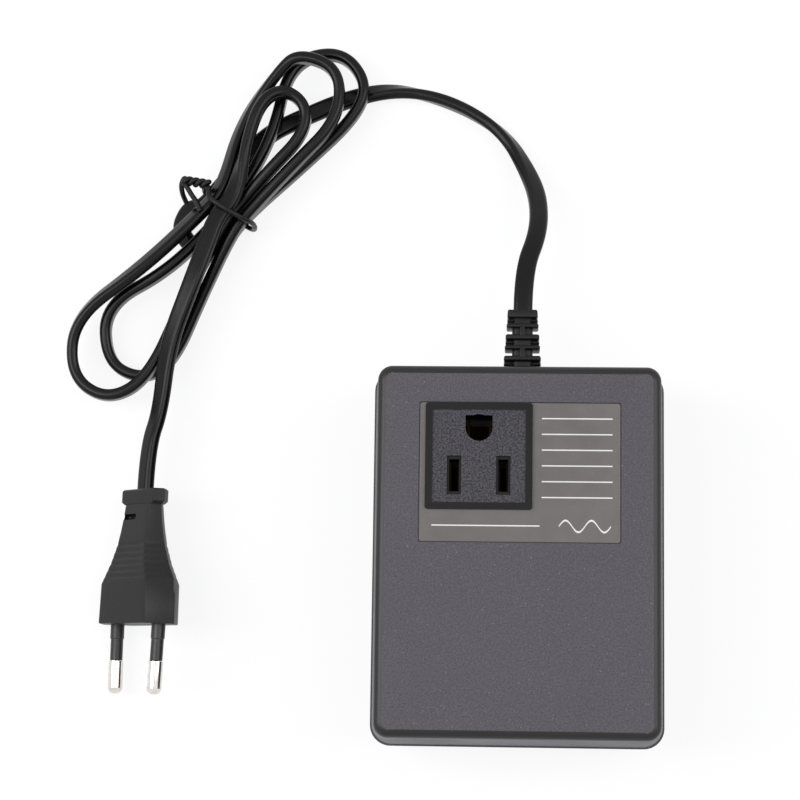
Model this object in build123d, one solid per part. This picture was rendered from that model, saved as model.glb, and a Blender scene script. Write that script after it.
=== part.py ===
from build123d import *
import math
import os

# Travel voltage converter lying on its back: a two-shell case with a flat-blade outlet in its
# face, a step-down transformer inside, and a short twin-flex lead that is tied in a hank and
# ends in a slim two-pin plug. Millimetres, with the origin under the middle of the case,
# X across the case, Y towards the cord end and Z up out of the outlet.

# Case
case_width = 77.7
case_length = 100.3
case_height = 50.0
front_height = 24.0
case_wall = 2.4
case_corner = 5.5
shoulder_corner = 3.6
top_edge_radius = 2.3
bottom_edge_radius = 1.4
front_inset = 0.4
front_draft = 1.8
rear_draft = 1.0
lip_height = 1.8
lip_thickness = 1.1
lip_clearance = 0.15
overrun = 1.0
slide_clearance = 0.2

# Case screws and the posts that they close
screw_edge_x = 7.3
screw_edge_y = 7.3
post_radius = 4.2
boss_radius = 3.6
screw_head_diameter = 5.6
screw_head_height = 2.2
screw_diameter = 3.0
screw_clearance = 0.4
screw_pilot_depth = 9.0
screw_seat_height = 15.0
screw_drive_depth = 1.2
screw_drive_width = 0.8

# Vents in the back
vent_width = 2.0
vent_length = 15.0
vent_pitch = 5.0
vent_count = 7
vent_row_y = 19.0

# Label and its recess: how far the label reaches past the outlet's flange on each side
label_left_field = 1.4
label_right_field = 22.6
label_upper_field = 0.05
label_lower_field = 8.25
label_thickness = 0.3
label_recess_depth = 0.4
label_margin = 0.25
label_corner = 0.6

# Outlet, with its blade slots 12.7 apart
outlet_x = -10.35
outlet_from_end = 25.85
outlet_body_size = 25.2
outlet_ledge = 1.25
outlet_border = 1.8
outlet_flange_thickness = 0.8
outlet_face_depth = 0.35
outlet_corner = 0.8
outlet_depth = 20.0
outlet_skin = 2.4
outlet_hole_clearance = 0.2
blade_pitch = 12.7
blade_drop = 5.0
blade_slot_width = 3.7
blade_slot_length = 10.1
blade_step_depth = 0.9
blade_throat_width = 2.6
blade_throat_length = 8.4
earth_rise = 7.4
earth_width = 7.0
earth_height = 6.7
pocket_width = 6.4
pocket_length = 11.4
earth_pocket = 9.0
latch_reach = 1.1
latch_height = 4.0
latch_length = 8.0
latch_gap = 0.1
cap_thickness = 3.0
tail_slot_width = 1.0
tail_slot_length = 4.6

# Outlet contacts
contact_thickness = 0.6
contact_gap = 1.6
contact_width = 8.0
contact_height = 14.0
contact_tail_width = 4.0
contact_tail_drop = 2.6
earth_contact_gap = 5.0
earth_contact_width = 5.6
earth_contact_height = 12.0

# Transformer, between the end of the case and the outlet and between the case's floor and roof:
# its laminations come out at the common 57 by 47.5 pattern
core_width = 57.0
core_leg = 9.5
core_end_gap = 8.25
core_outlet_gap = 3.7
coil_roof_gap = 4.6
core_hole_inset = 3.3
core_hole_diameter = 3.4
core_corner = 0.5
coil_overhang = 9.0
coil_floor_gap = 0.6
bobbin_wall = 1.0
bobbin_flange = 1.2
bobbin_clearance = 0.2
common_winding_depth = 3.3
series_winding_depth = 3.1
tape_thickness = 0.6
winding_gap = 0.1
bobbin_corner = 2.5
core_post_radius = 3.4
core_post_depth = 8.0
core_screw_head = 5.4
core_screw_head_height = 2.0
cutout_width = 7.0
cutout_length_share = 0.62
cutout_rest_share = 0.6
cutout_height = 3.2
cutout_x = 7.25
cutout_corner = 1.0

# Wires inside the case
wire_diameter = 2.0
wire_bend = 3.0
wire_land_rise = 4.5
wire_land_x = 6.0
sleeve_wall = 0.4
sleeve_gap = 0.15
sleeve_length = 7.0
core_pitch = 2.4
core_lead = 4.0

# Strain relief
relief_x = 0.9
relief_reach = 17.3
relief_base_width = 10.1
relief_base_height = 8.6
relief_tip_width = 7.8
relief_tip_height = 6.6
relief_corner = 1.2
relief_core_width = 5.6
relief_core_height = 4.4
relief_blocks = 3
relief_slot = 0.9
relief_slot_depth = 1.0
relief_notch = 1.1
relief_neck_width = 7.4
relief_neck_height = 6.4
relief_flange_width = 12.0
relief_flange_height = 10.0
relief_flange_thickness = 2.0
relief_gap = 0.15

# Cord: flat twin flex, 5.2 wide and 3.4 thick, kept here as a round tube between the two
cord_width = 5.2
cord_tube = 3.6

# Tied hank. Its places are measured from the tie: along to the end away from the plug, across
# to the left of that, and up. Levels are one cord on edge and a gap apart, lanes one tube and a gap.
tie_x = -81.7
tie_y = 98.1
hank_heading = 51.0
strand_gap = 0.45
level_gap = 0.5
loop_floor = 2.7
waist_lift = 1.0
waist_half_length = 4.0
hank_end_run = 7.8
hank_end_swing = 2.8
# Each strand through the tie, in order: lanes to the left, levels up
waist_strand_shares = [(1.9, 0.0), (-0.98, 0.0), (0.36, 0.52), (-1.6, 1.0), (1.3, 1.35), (-0.55, 1.05),
                       (0.1, 1.97)]
# Each loop between two strands: its end (1 away from the plug, -1 towards it), its reach, and the
# offset of its middle to the left
loop_sizes = [(-1, 13.8, 1.7), (1, 54.6, 0.0), (-1, 52.8, -5.2), (1, 48.5, 7.1), (-1, 63.6, -1.9),
              (1, 36.2, 5.2)]
# How far each loop's corners stand from its middle, out to the tip and back: the small first loop
# has necks and tips alone, the others also shoulders
loop_widths = [(10.2, 7.1, 7.1, 7.0), (6.9, 9.6, 6.1, 6.1, 15.0, 4.4), (5.2, 15.8, 5.5, 5.5, 10.1, 6.2),
               (10.0, 13.7, 6.1, 6.1, 8.7, 9.6), (7.5, 14.8, 6.5, 6.5, 11.6, 5.4), (4.9, 7.5, 4.1, 4.1, 7.8, 4.0)]
# Where those corners lie along the reach, and how much of the offset they have
neck_share = 0.44
shoulder_share = 0.8
neck_offset_share = 0.57
shoulder_offset_share = 0.85
# How far each loop's tip leans: its first tip corner reaches further by this, the second less
loop_leans = [0.0, -1.2, 1.1, 1.9, 0.6, 0.0]
# How many levels up the corners lie
loop_level_shares = [(0.0, 0.0, 0.0, 0.0), (0.45, 0.7, 0.85, 0.85, 0.85, 0.95),
                     (1.0, 0.55, 0.1, 0.0, 0.05, 0.55), (1.55, 1.72, 1.87, 1.92, 1.7, 1.2),
                     (1.75, 1.4, 0.95, 1.0, 0.95, 0.95), (1.7, 1.9, 2.0, 2.1, 2.3, 2.15)]

# Free cord from the strain relief to the hank, and from the hank to the plug, as places that
# the cord passes: x, y and height
lead_first_run = 10.5
lead_last_run = 12.0
lead_places = [(5.1, 89.9, 20.5), (5.1, 101.2, 12.5), (2.0, 110.7, 6.0), (-3.9, 121.3, 3.2), (-13.7, 128.6, 2.8),
               (-25.5, 133.4, 2.8), (-37.7, 135.2, 2.5), (-50.1, 132.3, 2.1), (-61.3, 127.4, 2.3)]
plug_lead_first_run = 12.3
plug_lead_last_run = 12.0
plug_lead_places = [(-97.7, 59.0, 12.2), (-99.4, 41.0, 10.8)]
bend_share = 0.45
straight_limit = 1e-9
gap_samples = 900

# Wire tie round the waist
tie_wire = 1.2
tie_clearance = 0.2
tie_left = 10.4
tie_right = 9.2
tie_low = 1.0
tie_high = 17.6
tie_corner = 3.0
tie_tail = 6.0
tie_tail_spread = 0.8

# Plug: six-sided body on its lower slanted side, seen from its cord end to its pins
plug_collar_x = -102.8
plug_collar_y = 18.8
plug_length = 37.1
plug_yaw = 1.5
plug_half_width = 16.3
plug_half_thickness = 5.9
plug_side_slant = 5.9
shoulder_half_width = 15.8
shoulder_half_thickness = 6.1
shoulder_side_slant = 6.1
waist_half_width = 11.0
waist_half_thickness = 4.2
waist_side_slant = 4.2
neck_half_width = 7.6
neck_half_thickness = 2.8
neck_side_slant = 3.0
collar_half_width = 8.9
collar_half_thickness = 3.2
collar_side_slant = 2.4
collar_length = 4.2
shoulder_length = 11.2
waist_from_shoulder = 9.2
grip_ribs = 6
grip_pitch = 1.7
grip_width = 0.8
grip_depth = 0.45
grip_from_shoulder = 1.2
plug_window_length = 5.6
plug_window_width = 1.5
plug_window_depth = 1.2
plug_window_from_collar = 2.9
plug_window_offset = 2.8
pin_spacing = 19.0
pin_length = 19.0
pin_diameter = 4.0
pin_shank = 3.0
pin_sleeve_diameter = 3.8
pin_sleeve_step_diameter = 3.4
pin_sleeve_length = 10.0
pin_sleeve_step = 4.0
pin_embed = 9.0
sleeve_embed = 2.0
pin_toe = 1.6
pin_clearance = 0.05
pin_dome = 1.6

parts = {}


def slab(width, length, corner, height):
    return Plane.XY.offset(height) * RectangleRounded(width, length, corner)


def tapered_block(width, length, corner, low, top_width, top_length, top_corner, high):
    sections = [slab(width, length, corner, low), slab(top_width, top_length, top_corner, high)]
    return loft(sections, ruled=True)


def block(x_range, y_range, z_range):
    size = [high - low for low, high in (x_range, y_range, z_range)]
    middle = [(high + low) / 2 for low, high in (x_range, y_range, z_range)]
    return Pos(*middle) * Box(*size)


def centred(middle, size):
    return (middle - size / 2, middle + size / 2)


def rod(x, y, radius, low, high):
    return Pos(x, y, (low + high) / 2) * Cylinder(radius, high - low)


def four_places(x, y_low, y_high):
    return [(side * x, y) for side in (-1, 1) for y in (y_low, y_high)]


parting_height = case_height - front_height
rim_inside_width = case_width - 2 * case_wall
rim_inside_length = case_length - 2 * case_wall
front_width = case_width - 2 * front_inset
front_length = case_length - 2 * front_inset
front_top_width = front_width - 2 * front_draft
front_top_length = front_length - 2 * front_draft
inside_corner = case_corner - case_wall
inside_top = case_height - case_wall
case_screw_places = four_places(case_width / 2 - screw_edge_x, screw_edge_y - case_length / 2,
                                case_length / 2 - screw_edge_y)
relief_height = parting_height
outlet_y = case_length / 2 - outlet_from_end
outlet_flange = outlet_body_size + 2 * outlet_ledge
outlet_face = outlet_flange - 2 * outlet_border
label_width = outlet_flange + label_left_field + label_right_field
label_length = outlet_flange + label_upper_field + label_lower_field
label_x = outlet_x + (label_right_field - label_left_field) / 2
label_y = outlet_y + (label_upper_field - label_lower_field) / 2
core_low = case_wall + coil_floor_gap + coil_overhang
core_high = inside_top - coil_roof_gap - coil_overhang
core_middle = (core_low + core_high) / 2
core_stack = core_high - core_low
core_y_start = case_wall + core_end_gap - case_length / 2
core_y_end = outlet_y - outlet_body_size / 2 - core_outlet_gap
window_start = core_y_start + core_leg
window_end = core_y_end - core_leg
wire_land_height = core_high + wire_land_rise
core_hole_places = four_places(core_width / 2 - core_hole_inset, core_y_start + core_hole_inset,
                               core_y_end - core_hole_inset)


def relief_notch_cut(low, high):
    width = relief_neck_width + 2 * relief_gap
    back = case_length / 2
    return block(centred(relief_x, width), (back - 2 * case_wall, back + overrun), (low, high))


def front_cover():
    outside = tapered_block(front_width, front_length, case_corner, parting_height,
                            front_top_width, front_top_length, shoulder_corner, case_height)
    outside = fillet(outside.faces().sort_by(Axis.Z)[-1].edges(), top_edge_radius)
    slope = front_draft * case_wall / (case_height - parting_height)
    inside = tapered_block(front_width - 2 * case_wall, front_length - 2 * case_wall, inside_corner,
                           parting_height, front_top_width - 2 * case_wall + 2 * slope,
                           front_top_length - 2 * case_wall + 2 * slope, inside_corner, inside_top)
    bosses = Part() + [rod(x, y, boss_radius, parting_height, inside_top + overrun)
                       for x, y in case_screw_places]
    shell = outside - inside + (bosses & outside)
    label_cut = Pos(label_x, label_y, case_height) * extrude(
        RectangleRounded(label_width + 2 * label_margin, label_length + 2 * label_margin, label_corner),
        label_recess_depth, both=True)
    opening = outlet_body_size + 2 * outlet_hole_clearance
    outlet_cut = block(centred(outlet_x, opening), centred(outlet_y, opening),
                       (inside_top - overrun, case_height + overrun))
    pilots = [rod(x, y, screw_diameter / 2, parting_height - overrun, parting_height + screw_pilot_depth)
              for x, y in case_screw_places]
    notch = relief_notch_cut(parting_height - overrun, relief_height + relief_neck_height / 2 + relief_gap)
    return shell - label_cut - outlet_cut - pilots - notch


def rear_cover():
    bottom_width = case_width - 2 * rear_draft
    bottom_length = case_length - 2 * rear_draft
    outside = tapered_block(bottom_width, bottom_length, case_corner, 0,
                            case_width, case_length, case_corner, parting_height)
    outside = fillet(outside.faces().sort_by(Axis.Z)[0].edges(), bottom_edge_radius)
    inside = tapered_block(bottom_width - 2 * case_wall, bottom_length - 2 * case_wall, inside_corner,
                           case_wall, rim_inside_width, rim_inside_length, inside_corner, parting_height)
    lip_width = front_width - 2 * case_wall - 2 * lip_clearance
    lip_length = front_length - 2 * case_wall - 2 * lip_clearance
    lip_low = parting_height - lip_height
    lip_outside = extrude(slab(lip_width, lip_length, inside_corner, lip_low), 2 * lip_height)
    lip_inside = extrude(slab(lip_width - 2 * lip_thickness, lip_length - 2 * lip_thickness,
                              inside_corner - lip_thickness, lip_low), 2 * lip_height)
    shell = outside - inside + (lip_outside - lip_inside)
    shell -= [rod(x, y, boss_radius + slide_clearance, parting_height, parting_height + 2 * lip_height)
              for x, y in case_screw_places]
    posts = Part() + [rod(x, y, post_radius, case_wall / 2, parting_height) for x, y in case_screw_places]
    posts += [rod(x, y, core_post_radius, case_wall / 2, core_low) for x, y in core_hole_places]
    shell += posts
    head_bore = (screw_head_diameter + screw_clearance) / 2
    shank_bore = (screw_diameter + screw_clearance) / 2
    for x, y in case_screw_places:
        shell -= rod(x, y, head_bore, -overrun, screw_seat_height)
        shell -= rod(x, y, shank_bore, -overrun, parting_height + overrun)
    shell -= [rod(x, y, screw_diameter / 2, core_low - core_post_depth, core_low + overrun)
              for x, y in core_hole_places]
    vent_middle = (vent_count - 1) / 2
    for side in (-1, 1):
        for number in range(vent_count):
            place = Pos((number - vent_middle) * vent_pitch, side * vent_row_y, case_wall / 2)
            slot = SlotOverall(vent_length, vent_width, rotation=90)
            shell -= place * extrude(slot, case_wall, both=True)
    return shell - relief_notch_cut(relief_height - relief_neck_height / 2 - relief_gap,
                                    parting_height + 2 * lip_height)


def case_screws():
    screws = []
    for x, y in case_screw_places:
        head = rod(x, y, screw_head_diameter / 2, screw_seat_height - screw_head_height, screw_seat_height)
        drive_low = screw_seat_height - screw_head_height - overrun
        drive_high = screw_seat_height - screw_head_height + screw_drive_depth
        length = screw_head_diameter - 2 * screw_drive_width
        for turn in (0, 90):
            blade = block(centred(0, length), centred(0, screw_drive_width), (drive_low, drive_high))
            head -= Pos(x, y, 0) * Rot(0, 0, turn) * blade
        top = parting_height + screw_pilot_depth - overrun
        screws.append(head + rod(x, y, screw_diameter / 2 - pin_clearance, screw_seat_height, top))
    return Compound(children=screws)


label_top = case_height - label_recess_depth + label_thickness
flange_top = label_top + outlet_flange_thickness
outlet_low = flange_top - outlet_depth
cap_low = outlet_low - cap_thickness
pocket_top = flange_top - outlet_face_depth - outlet_skin
blade_y = outlet_y - blade_drop
blade_places = [(outlet_x - blade_pitch / 2, blade_y), (outlet_x + blade_pitch / 2, blade_y)]
earth_y = outlet_y + earth_rise


def label_plate():
    sheet = Pos(label_x, label_y, label_top - label_thickness) * extrude(
        RectangleRounded(label_width, label_length, label_corner), label_thickness)
    opening = outlet_body_size + 2 * outlet_hole_clearance
    return sheet - block(centred(outlet_x, opening), centred(outlet_y, opening),
                         (label_top - 2 * label_thickness, label_top + label_thickness))


def earth_hole():
    radius = earth_width / 2
    square = block(centred(outlet_x, earth_width), (earth_y, earth_y + earth_height - radius),
                   (pocket_top - overrun, flange_top + overrun))
    return square + rod(outlet_x, earth_y, radius, pocket_top - overrun, flange_top + overrun)


def outlet_body():
    flange = Pos(outlet_x, outlet_y, label_top) * extrude(
        RectangleRounded(outlet_flange, outlet_flange, outlet_corner), outlet_flange_thickness)
    flange -= block(centred(outlet_x, outlet_face), centred(outlet_y, outlet_face),
                    (flange_top - outlet_face_depth, flange_top + overrun))
    body = block(centred(outlet_x, outlet_body_size), centred(outlet_y, outlet_body_size),
                 (outlet_low, flange_top - outlet_face_depth))
    solid = flange + body
    latch_top = inside_top - latch_gap
    for side in (-1, 1):
        wall = outlet_x + side * outlet_body_size / 2
        corners = [(wall, latch_top), (wall + side * latch_reach, latch_top),
                   (wall, latch_top - latch_height)]
        hook = Plane.XZ.offset(-outlet_y) * make_face(Polyline(*corners, close=True))
        solid += extrude(hook, latch_length / 2, both=True)
    for x, y in blade_places:
        face = flange_top - outlet_face_depth
        solid -= block(centred(x, blade_slot_width), centred(y, blade_slot_length),
                       (face - blade_step_depth, flange_top + overrun))
        solid -= block(centred(x, blade_throat_width), centred(y, blade_throat_length),
                       (pocket_top - overrun, flange_top + overrun))
        solid -= block(centred(x, pocket_width), centred(y, pocket_length),
                       (outlet_low - overrun, pocket_top))
    solid -= earth_hole()
    return solid - block(centred(outlet_x, earth_pocket), centred(earth_y, earth_pocket),
                         (outlet_low - overrun, pocket_top))


def outlet_rear_cap():
    cap = block(centred(outlet_x, outlet_body_size), centred(outlet_y, outlet_body_size),
                (cap_low, outlet_low))
    for x, y in blade_places:
        cap -= block(centred(x, tail_slot_width), centred(y, tail_slot_length),
                     (cap_low - overrun, outlet_low + overrun))
    return cap


def blade_contact(place):
    x, y = place
    outside = contact_gap + 2 * contact_thickness
    high = outlet_low + contact_height
    clip = block(centred(x, outside), centred(y, contact_width), (outlet_low, high))
    clip -= block(centred(x, contact_gap), centred(y, contact_width + overrun),
                  (outlet_low + contact_thickness, high + overrun))
    return clip + block(centred(x, contact_thickness), centred(y, contact_tail_width),
                        (cap_low - contact_tail_drop, outlet_low + contact_thickness / 2))


def earth_contact():
    outside = earth_contact_gap + 2 * contact_thickness
    high = outlet_low + earth_contact_height
    clip = block(centred(outlet_x, outside), centred(earth_y, earth_contact_width), (outlet_low, high))
    return clip - block(centred(outlet_x, earth_contact_gap),
                        centred(earth_y, earth_contact_width + overrun),
                        (outlet_low + contact_thickness, high + overrun))


def core_plate(y_low, y_high):
    return block(centred(0, core_width), (y_low, y_high), (core_low, core_high))


def core_holes():
    return [rod(x, y, core_hole_diameter / 2, core_low - overrun, core_high + overrun)
            for x, y in core_hole_places]


def core_e_stack():
    stack = core_plate(core_y_start, window_end)
    for side in (-1, 1):
        stack -= block(centred(side * 3 * core_leg / 2, core_leg), (window_start, window_end + overrun),
                       (core_low - overrun, core_high + overrun))
    return stack - core_holes()


def core_i_stack():
    return core_plate(window_end, core_y_end) - core_holes()


bobbin_start = window_start + bobbin_clearance
bobbin_end = window_end - bobbin_clearance


def coil_ring(inner_width, inner_height, depth, corner, y_low, y_high):
    outer = RectangleRounded(inner_width + 2 * depth, inner_height + 2 * depth, corner + depth)
    ring = outer - RectangleRounded(inner_width, inner_height, corner)
    return Pos(0, y_high, core_middle) * Rot(90, 0, 0) * extrude(ring, y_high - y_low)


bobbin_bore_width = 2 * core_leg + 2 * bobbin_clearance
bobbin_bore_height = core_stack + 2 * bobbin_clearance
flange_width = 4 * core_leg - 2 * bobbin_clearance
flange_height = core_stack + 2 * coil_overhang


def coil_bobbin():
    tube = coil_ring(bobbin_bore_width, bobbin_bore_height, bobbin_wall, core_corner,
                     bobbin_start, bobbin_end)
    plate = RectangleRounded(flange_width, flange_height, bobbin_corner)
    plate -= RectangleRounded(bobbin_bore_width, bobbin_bore_height, core_corner)
    for end in (bobbin_start + bobbin_flange, bobbin_end):
        tube += Pos(0, end, core_middle) * Rot(90, 0, 0) * extrude(plate, bobbin_flange)
    return tube


winding_start = bobbin_start + bobbin_flange + winding_gap
winding_end = bobbin_end - bobbin_flange - winding_gap
common_corner = core_corner + bobbin_wall + winding_gap
series_corner = common_corner + common_winding_depth + winding_gap
tape_corner = series_corner + series_winding_depth + winding_gap
common_width = bobbin_bore_width + 2 * bobbin_wall + 2 * winding_gap
common_height = bobbin_bore_height + 2 * bobbin_wall + 2 * winding_gap
series_width = common_width + 2 * common_winding_depth + 2 * winding_gap
series_height = common_height + 2 * common_winding_depth + 2 * winding_gap
tape_width = series_width + 2 * series_winding_depth + 2 * winding_gap
tape_height = series_height + 2 * series_winding_depth + 2 * winding_gap
coil_top = core_middle + tape_height / 2 + tape_thickness
cutout_length = cutout_length_share * (winding_end - winding_start)
cutout_end = winding_end - cutout_rest_share * (winding_end - winding_start - cutout_length)


def common_winding():
    return coil_ring(common_width, common_height, common_winding_depth, common_corner,
                     winding_start, winding_end)


def series_winding():
    return coil_ring(series_width, series_height, series_winding_depth, series_corner,
                     winding_start, winding_end)


def winding_tape():
    return coil_ring(tape_width, tape_height, tape_thickness, tape_corner, winding_start, winding_end)


def core_screws():
    screws = []
    for x, y in core_hole_places:
        head = rod(x, y, core_screw_head / 2, core_high, core_high + core_screw_head_height)
        head -= block(centred(x, core_screw_head + overrun), centred(y, screw_drive_width),
                      (core_high + core_screw_head_height - screw_drive_depth,
                       core_high + core_screw_head_height + overrun))
        shank = rod(x, y, screw_diameter / 2 - pin_clearance, core_low - core_post_depth + overrun, core_high)
        screws.append(head + shank)
    return Compound(children=screws)


def thermal_cutout():
    body = block(centred(cutout_x, cutout_width), (cutout_end - cutout_length, cutout_end),
                 (coil_top, coil_top + cutout_height))
    return fillet(body.edges().filter_by(Axis.Y), cutout_corner)


relief_back = case_length / 2
relief_inner = (relief_back - front_inset - case_wall - lip_clearance - lip_thickness - relief_gap
                - relief_flange_thickness)


def wire(places, diameter):
    path = FilletPolyline(*places, radius=wire_bend)
    start = Plane(path @ 0, z_dir=path % 0)
    return sweep(start * Circle(diameter / 2), path=path)


tail_low = cap_low - contact_tail_drop
wire_gap = core_y_end + (outlet_y - outlet_body_size / 2 - core_y_end) / 2
under_cap = tail_low - sleeve_length - wire_bend
cutout_wire_height = coil_top + cutout_height / 2
wire_side = outlet_x + outlet_body_size / 2 + 2 * wire_diameter


def live_core():
    return wire([(relief_x + core_pitch / 2, relief_inner, relief_height),
                 (relief_x + core_pitch / 2, relief_inner - 2 * core_lead, relief_height),
                 (wire_side + wire_diameter, relief_inner - 4 * core_lead, relief_height),
                 (wire_side + wire_diameter, core_y_end + 3 * core_lead, cutout_wire_height),
                 (cutout_x, core_y_end, cutout_wire_height), (cutout_x, cutout_end, cutout_wire_height)],
                wire_diameter)


def neutral_core():
    return wire([(relief_x - core_pitch / 2, relief_inner, relief_height),
                 (relief_x - core_pitch / 2, relief_inner - core_lead, relief_height),
                 (wire_side, relief_inner - 4 * core_lead, relief_height - 3 * core_lead),
                 (wire_side, wire_gap, relief_height - 3 * core_lead),
                 (wire_land_x, wire_gap, wire_land_height - core_lead),
                 (wire_land_x, core_y_end - core_leg / 2, wire_land_height),
                 (wire_land_x, bobbin_end, wire_land_height)], wire_diameter)


def outlet_wire(place, land_x):
    x, y = place
    return wire([(land_x, bobbin_end, wire_land_height),
                 (land_x, core_y_end - wire_diameter, wire_land_height),
                 (land_x, wire_gap, wire_land_height - core_lead),
                 (land_x, wire_gap, under_cap), (x, y, under_cap), (x, y, tail_low)], wire_diameter)


def wire_sleeves():
    inside = wire_diameter / 2 + sleeve_gap
    sleeves = []
    for x, y in blade_places:
        tube = rod(x, y, inside + sleeve_wall, tail_low - sleeve_length, tail_low)
        sleeves.append(tube - rod(x, y, inside, tail_low - 2 * sleeve_length, cap_low))
    return Compound(children=sleeves)


def strain_relief():
    tip = relief_back + relief_reach
    sections = [Plane.XZ.offset(-relief_back) * RectangleRounded(relief_base_width, relief_base_height,
                                                                 relief_corner),
                Plane.XZ.offset(-tip) * RectangleRounded(relief_tip_width, relief_tip_height, relief_corner)]
    boot = loft(sections, ruled=True)
    core = (relief_core_width, relief_core_height)
    pitch = relief_reach / relief_blocks
    keep = block(centred(0, core[0]), (relief_back - overrun, tip + overrun), centred(0, core[1]))
    wide = 2 * relief_base_width
    for number in range(relief_blocks):
        middle = relief_back + (number + 1 / 2) * pitch
        slot = block(centred(0, wide), centred(middle, relief_slot), centred(0, wide))
        face = relief_tip_height / 2 - relief_slot_depth
        slot -= block(centred(0, 2 * wide), centred(middle, 2 * relief_slot), centred(0, 2 * face))
        boot -= slot
        if number:
            edge = relief_back + number * pitch
            notch = block(centred(0, wide), centred(edge, relief_notch), centred(0, wide))
            boot -= notch - keep
    neck = block(centred(0, relief_neck_width), (relief_inner, relief_back), centred(0, relief_neck_height))
    flange = block(centred(0, relief_flange_width), (relief_inner, relief_inner + relief_flange_thickness),
                   centred(0, relief_flange_height))
    return Pos(relief_x, 0, relief_height) * (boot + neck + flange)


lane_width = cord_tube + strand_gap
level_height = cord_width + level_gap
relief_tip = (relief_x, relief_back + relief_reach, relief_height)


def hank_place(along, across, height):
    heading = math.radians(hank_heading)
    return Vector(tie_x + along * math.cos(heading) - across * math.sin(heading),
                  tie_y + along * math.sin(heading) + across * math.cos(heading), height)


def loop_corners(size, widths, lean, levels):
    end, reach, offset = size
    out_shares = [(neck_share, neck_offset_share), (shoulder_share, shoulder_offset_share)]
    out_shares = out_shares[:len(widths) // 2 - 1]
    corners = [(reach * share, offset * middle_share) for share, middle_share in out_shares]
    corners += [(reach + lean, offset), (reach - lean, offset)] + corners[::-1]
    sides = [-end] * (len(widths) // 2) + [end] * (len(widths) // 2)
    return [hank_place(end * along, middle + side * width, loop_floor + level * level_height)
            for (along, middle), side, width, level in zip(corners, sides, widths, levels)]


def strand(number):
    lane, level = waist_strand_shares[number]
    return lane * lane_width, loop_floor + waist_lift + level * level_height


def hank_end():
    across, height = strand(-1)
    return hank_place(-waist_half_length - hank_end_run, across - hank_end_swing, height)


def hank_corners():
    places = [hank_place(waist_half_length + hank_end_run, *strand(0))]
    for number in range(len(waist_strand_shares)):
        way = 1 if number % 2 == 0 else -1
        places += [hank_place(way * waist_half_length, *strand(number)),
                   hank_place(-way * waist_half_length, *strand(number))]
        if number < len(loop_sizes):
            places += loop_corners(loop_sizes[number], loop_widths[number], loop_leans[number],
                                   loop_level_shares[number])
    return places + [hank_end()]


def biarc(start, start_way, end, end_way):
    chord = end - start
    turn = 2 * (1 - start_way.dot(end_way))
    if turn < straight_limit:
        return [Line(start, end)]
    reach = chord.dot(start_way + end_way)
    leg = (math.sqrt(reach * reach + turn * chord.dot(chord)) - reach) / turn
    middle = ((start + start_way * leg) + (end - end_way * leg)) / 2
    first = TangentArc(start, middle, tangent=start_way)
    return [first, TangentArc(middle, end, tangent=first % 1)]


def smooth_path(corners):
    legs = [(b - a).normalized() for a, b in zip(corners, corners[1:])]
    middles = [(a + b) / 2 for a, b in zip(corners, corners[1:])]
    edges = [Line(corners[0], middles[0])]
    for number in range(len(legs) - 1):
        edges += biarc(middles[number], legs[number], middles[number + 1], legs[number + 1])
    return Wire(edges + [Line(middles[-1], corners[-1])])


def least_gap(path, samples):
    points = [path @ (number / samples) for number in range(samples + 1)]
    skip = math.ceil(3 * cord_tube * samples / path.length)
    pairs = ((a - b).length for i, a in enumerate(points) for b in points[i + skip:])
    return min(pairs) - cord_tube


def cord_hank():
    path = smooth_path(hank_corners())
    print("hank length", round(path.length, 1), "least gap", round(least_gap(path, gap_samples), 2))
    start = Plane(path @ 0, z_dir=path % 0)
    return sweep(start * Circle(cord_tube / 2), path=path)


def free_route(name, places):
    places = [Vector(*place) for place in places]
    runs = [(b - a).length for a, b in zip(places, places[1:])]
    turns = [(b - a).get_angle(c - b) for a, b, c in zip(places, places[1:], places[2:])]
    radii = [bend_share * min(before, after) / math.tan(math.radians(turn) / 2)
             for before, after, turn in zip(runs, runs[1:], turns)]
    path = FilletPolyline(*places, radius=radii)
    start = Plane(path @ 0, z_dir=path % 0)
    tube = sweep(start * Circle(cord_tube / 2), path=path)
    expected = math.pi * (cord_tube / 2) ** 2 * path.length
    print(name, "runs", [round(run, 1) for run in runs], "turns", [round(turn) for turn in turns],
          "radii", [round(radius, 1) for radius in radii],
          "length", round(path.length, 1), "volume ratio", round(tube.volume / expected, 4))
    return tube


def cord_lead():
    across, height = strand(0)
    far = hank_place(waist_half_length + hank_end_run + lead_last_run, across, height)
    near = hank_place(waist_half_length + hank_end_run, across, height)
    first = Vector(*relief_tip) + Vector(0, lead_first_run, 0)
    return free_route("lead", [relief_tip, first] + lead_places + [far, near])


plug_roll = math.degrees(math.atan2(plug_half_thickness, plug_side_slant))
plug_height = plug_half_width * math.sin(math.radians(plug_roll))
plug_frame = Plane(origin=(plug_collar_x, plug_collar_y, plug_height),
                   x_dir=Vector(1, 0, 0).rotate(Axis.Z, -plug_yaw),
                   z_dir=Vector(0, -1, 0).rotate(Axis.Z, -plug_yaw)).location * Rot(0, 0, plug_roll)


def plug_section(half_width, half_thickness, slant, along):
    flat = half_width - slant
    corners = [(half_width, 0), (flat, half_thickness), (-flat, half_thickness), (-half_width, 0),
               (-flat, -half_thickness), (flat, -half_thickness)]
    return Plane.XY.offset(along) * make_face(Polyline(*corners, close=True))


def pin_location(side):
    return Pos(side * pin_spacing / 2, 0, plug_length) * Rot(0, -side * pin_toe, 0)


def pin_rod(radius, low, high):
    return Pos(0, 0, (low + high) / 2) * Cylinder(radius, high - low)


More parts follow.
